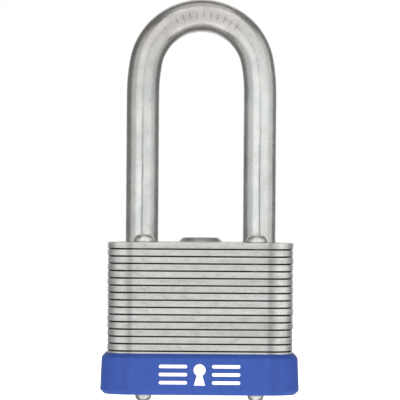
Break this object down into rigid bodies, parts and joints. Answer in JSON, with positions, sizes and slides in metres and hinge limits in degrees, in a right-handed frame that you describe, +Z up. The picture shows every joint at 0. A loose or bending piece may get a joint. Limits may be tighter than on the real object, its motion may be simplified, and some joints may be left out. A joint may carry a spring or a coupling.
{
  "type": "padlock",
  "caption": "Laminated steel padlock with a long round shackle, a pressed boss and a blue plastic bumper round its foot; key cylinder and bolts inside, shown closed and unlocked.",
  "frame": {"origin": "on the surface that the lock stands on, midway between its four rivet feet", "axes": "+Z up along the shackle's legs, -Y towards the front, +X to the right as seen from the front; the heel leg is at -X"},
  "size_m": [0.0482, 0.0272, 0.0978],
  "materials": {
    "plate_steel": "zinc-plated punched plate, satin, slightly mottled",
    "rivet_steel": "zinc-plated, hammered dome",
    "shackle_steel": "hardened steel wire, satin zinc plating",
    "spring_steel": "drawn spring wire",
    "bolt_steel": "sintered steel, dull",
    "cylinder_brass": "turned brass",
    "bumper_plastic": "moulded blue vinyl, fine grain"
  },
  "bodies": {
    "case": {"bottom_plate": "plate_steel", "cylinder_plate_1": "plate_steel", "cylinder_plate_2": "plate_steel", "cylinder_plate_3": "plate_steel", "cylinder_plate_4": "plate_steel", "cylinder_plate_5": "plate_steel", "cylinder_plate_6": "plate_steel", "cylinder_plate_7": "plate_steel", "cylinder_plate_8": "plate_steel", "cylinder_plate_9": "plate_steel", "cylinder_plate_10": "plate_steel", "cylinder_plate_11": "plate_steel", "tail_plate": "plate_steel", "cam_plate_1": "plate_steel", "cam_plate_2": "plate_steel", "bolt_plate_1": "plate_steel", "bolt_plate_2": "plate_steel", "guide_plate_1": "plate_steel", "guide_plate_2": "plate_steel", "guide_plate_3": "plate_steel", "top_plate": "plate_steel", "rivet_front_left": "rivet_steel", "rivet_front_right": "rivet_steel", "rivet_back_left": "rivet_steel", "rivet_back_right": "rivet_steel", "cylinder_body": "cylinder_brass", "pin_chamber_cover": "cylinder_brass", "bumper": "bumper_plastic", "shackle_spring": "spring_steel", "bolt_spring_front": "spring_steel", "bolt_spring_back": "spring_steel", "pin_spring_1": "spring_steel", "pin_spring_2": "spring_steel", "pin_spring_3": "spring_steel", "pin_spring_4": "spring_steel", "pin_spring_5": "spring_steel"},
    "shackle": {"shackle": "shackle_steel"},
    "plug": {"plug": "cylinder_brass", "cam": "bolt_steel"},
    "bolt_left": {"bolt_left": "bolt_steel"},
    "bolt_right": {"bolt_right": "bolt_steel"},
    "key_pin_1": {"key_pin_1": "cylinder_brass"},
    "key_pin_2": {"key_pin_2": "cylinder_brass"},
    "key_pin_3": {"key_pin_3": "cylinder_brass"},
    "key_pin_4": {"key_pin_4": "cylinder_brass"},
    "key_pin_5": {"key_pin_5": "cylinder_brass"},
    "driver_pin_1": {"driver_pin_1": "cylinder_brass"},
    "driver_pin_2": {"driver_pin_2": "cylinder_brass"},
    "driver_pin_3": {"driver_pin_3": "cylinder_brass"},
    "driver_pin_4": {"driver_pin_4": "cylinder_brass"},
    "driver_pin_5": {"driver_pin_5": "cylinder_brass"}
  },
  "joints": [
    {"name": "shackle_lift", "type": "slide", "parent": "case", "child": "shackle", "axis": [0, 0, 1], "range_m": [0, 0.0145], "deforming": ["shackle_spring"]},
    {"name": "plug_turn", "type": "hinge", "parent": "case", "child": "plug", "pos_m": [0, 0, 0.00366], "axis": [0, 0, -1], "range_deg": [0, 90]},
    {"name": "bolt_left_slide", "type": "slide", "parent": "case", "child": "bolt_left", "axis": [-1, 0, 0], "range_m": [0, 0.0018], "deforming": ["bolt_spring_front"]},
    {"name": "bolt_right_slide", "type": "slide", "parent": "case", "child": "bolt_right", "axis": [1, 0, 0], "range_m": [0, 0.0018], "deforming": ["bolt_spring_back"]},
    {"name": "key_pin_1_slide", "type": "slide", "parent": "plug", "child": "key_pin_1", "axis": [0, -1, 0], "range_m": [0, 0.0011]},
    {"name": "key_pin_2_slide", "type": "slide", "parent": "plug", "child": "key_pin_2", "axis": [0, -1, 0], "range_m": [0, 0.0011]},
    {"name": "key_pin_3_slide", "type": "slide", "parent": "plug", "child": "key_pin_3", "axis": [0, -1, 0], "range_m": [0, 0.0011]},
    {"name": "key_pin_4_slide", "type": "slide", "parent": "plug", "child": "key_pin_4", "axis": [0, -1, 0], "range_m": [0, 0.0011]},
    {"name": "key_pin_5_slide", "type": "slide", "parent": "plug", "child": "key_pin_5", "axis": [0, -1, 0], "range_m": [0, 0.0011]},
    {"name": "driver_pin_1_slide", "type": "slide", "parent": "case", "child": "driver_pin_1", "axis": [1, 0, 0], "range_m": [0, 0.0013], "stiffness_N_per_m": 100, "deforming": ["pin_spring_1"]},
    {"name": "driver_pin_2_slide", "type": "slide", "parent": "case", "child": "driver_pin_2", "axis": [1, 0, 0], "range_m": [0, 0.0013], "stiffness_N_per_m": 100, "deforming": ["pin_spring_2"]},
    {"name": "driver_pin_3_slide", "type": "slide", "parent": "case", "child": "driver_pin_3", "axis": [1, 0, 0], "range_m": [0, 0.0013], "stiffness_N_per_m": 100, "deforming": ["pin_spring_3"]},
    {"name": "driver_pin_4_slide", "type": "slide", "parent": "case", "child": "driver_pin_4", "axis": [1, 0, 0], "range_m": [0, 0.0013], "stiffness_N_per_m": 100, "deforming": ["pin_spring_4"]},
    {"name": "driver_pin_5_slide", "type": "slide", "parent": "case", "child": "driver_pin_5", "axis": [1, 0, 0], "range_m": [0, 0.0013], "stiffness_N_per_m": 100, "deforming": ["pin_spring_5"]}
  ],
  "couplings": [
    {"joint": "bolt_left_slide", "follows": "plug_turn", "m_per_rad": 0.001145},
    {"joint": "bolt_right_slide", "follows": "plug_turn", "m_per_rad": 0.001145}
  ]
}
